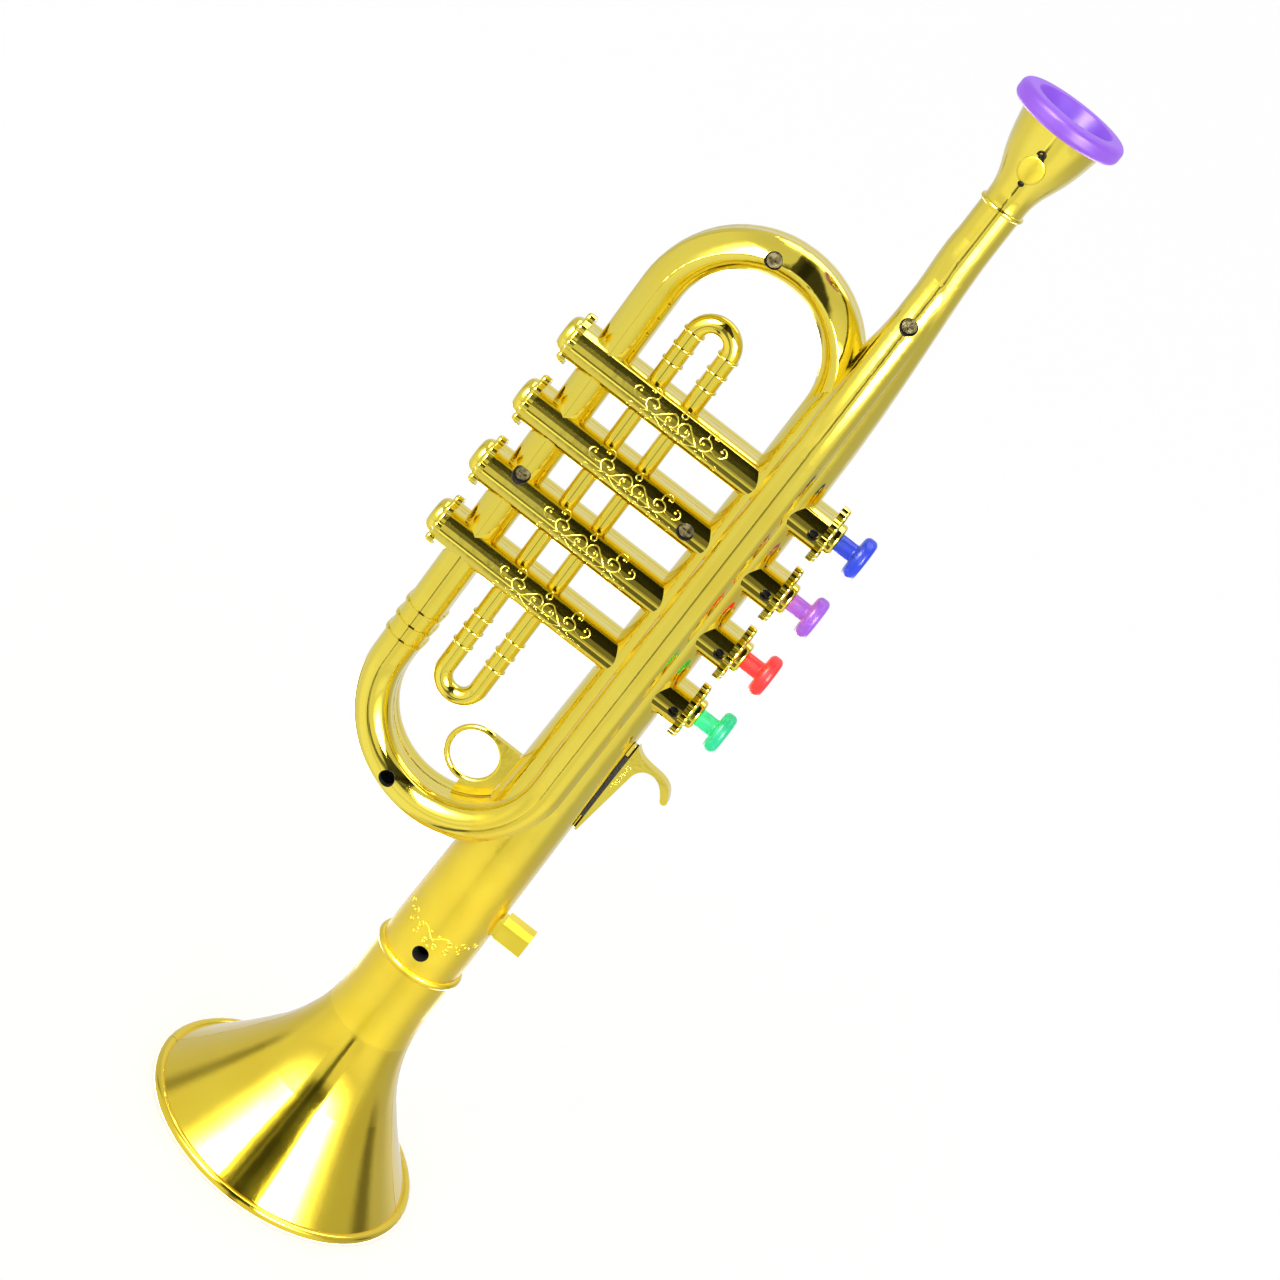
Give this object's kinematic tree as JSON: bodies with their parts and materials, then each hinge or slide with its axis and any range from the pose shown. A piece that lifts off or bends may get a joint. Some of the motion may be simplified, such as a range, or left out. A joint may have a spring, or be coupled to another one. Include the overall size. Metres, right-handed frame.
{
  "type": "toy trumpet",
  "caption": "Upright-standing toy trumpet with a flared bell, looped tubes, coloured press keys and a rounded mouthpiece.",
  "frame": {"origin": "centre of the bell's rim plane, on the main tube's axis; the trumpet stands on its bell", "axes": "+Z from the bell up to the mouthpiece, +X towards the keys, -Y towards the front shell with the screws"},
  "size_m": [0.1121, 0.085, 0.37],
  "materials": {
    "gold_plating": "vacuum-plated mirror gold over plastic",
    "purple_plastic": "glossy purple",
    "button_blue": "glossy blue",
    "button_purple": "glossy purple",
    "button_red": "glossy red",
    "button_green": "glossy green",
    "screw_steel": "plain pan-head screws",
    "spring_steel": "spring wire",
    "inner_plastic": "unplated moulding",
    "reed_brass": "thin brass strip",
    "pad_rubber": "soft valve pad"
  },
  "bodies": {
    "case": {"front_shell": "gold_plating", "back_shell": "gold_plating", "mouthpiece_rim": "purple_plastic", "finger_ring": "gold_plating", "finger_hook": "gold_plating", "holder_block": "gold_plating", "case_screws": "screw_steel", "bushing_screws": "screw_steel", "valve_plate": "inner_plastic", "valve_bushing_1": "gold_plating", "end_cap_1": "gold_plating", "return_spring_1": "spring_steel", "reed_capsule_1": "inner_plastic", "reed_1": "reed_brass", "valve_bushing_2": "gold_plating", "end_cap_2": "gold_plating", "return_spring_2": "spring_steel", "reed_capsule_2": "inner_plastic", "reed_2": "reed_brass", "valve_bushing_3": "gold_plating", "end_cap_3": "gold_plating", "return_spring_3": "spring_steel", "reed_capsule_3": "inner_plastic", "reed_3": "reed_brass", "valve_bushing_4": "gold_plating", "end_cap_4": "gold_plating", "return_spring_4": "spring_steel", "reed_capsule_4": "inner_plastic", "reed_4": "reed_brass"},
    "blue_key": {"button_blue": "button_blue", "valve_pad_1": "pad_rubber"},
    "purple_key": {"button_purple": "button_purple", "valve_pad_2": "pad_rubber"},
    "red_key": {"button_red": "button_red", "valve_pad_3": "pad_rubber"},
    "green_key": {"button_green": "button_green", "valve_pad_4": "pad_rubber"}
  },
  "joints": [
    {"name": "blue_press", "type": "slide", "parent": "case", "child": "blue_key", "axis": [-1, 0, 0], "range_m": [0, 0.0045], "stiffness_N_per_m": 300, "springref_m": -0.004, "deforming": ["return_spring_1"]},
    {"name": "purple_press", "type": "slide", "parent": "case", "child": "purple_key", "axis": [-1, 0, 0], "range_m": [0, 0.0045], "stiffness_N_per_m": 300, "springref_m": -0.004, "deforming": ["return_spring_2"]},
    {"name": "red_press", "type": "slide", "parent": "case", "child": "red_key", "axis": [-1, 0, 0], "range_m": [0, 0.0045], "stiffness_N_per_m": 300, "springref_m": -0.004, "deforming": ["return_spring_3"]},
    {"name": "green_press", "type": "slide", "parent": "case", "child": "green_key", "axis": [-1, 0, 0], "range_m": [0, 0.0045], "stiffness_N_per_m": 300, "springref_m": -0.004, "deforming": ["return_spring_4"]}
  ]
}
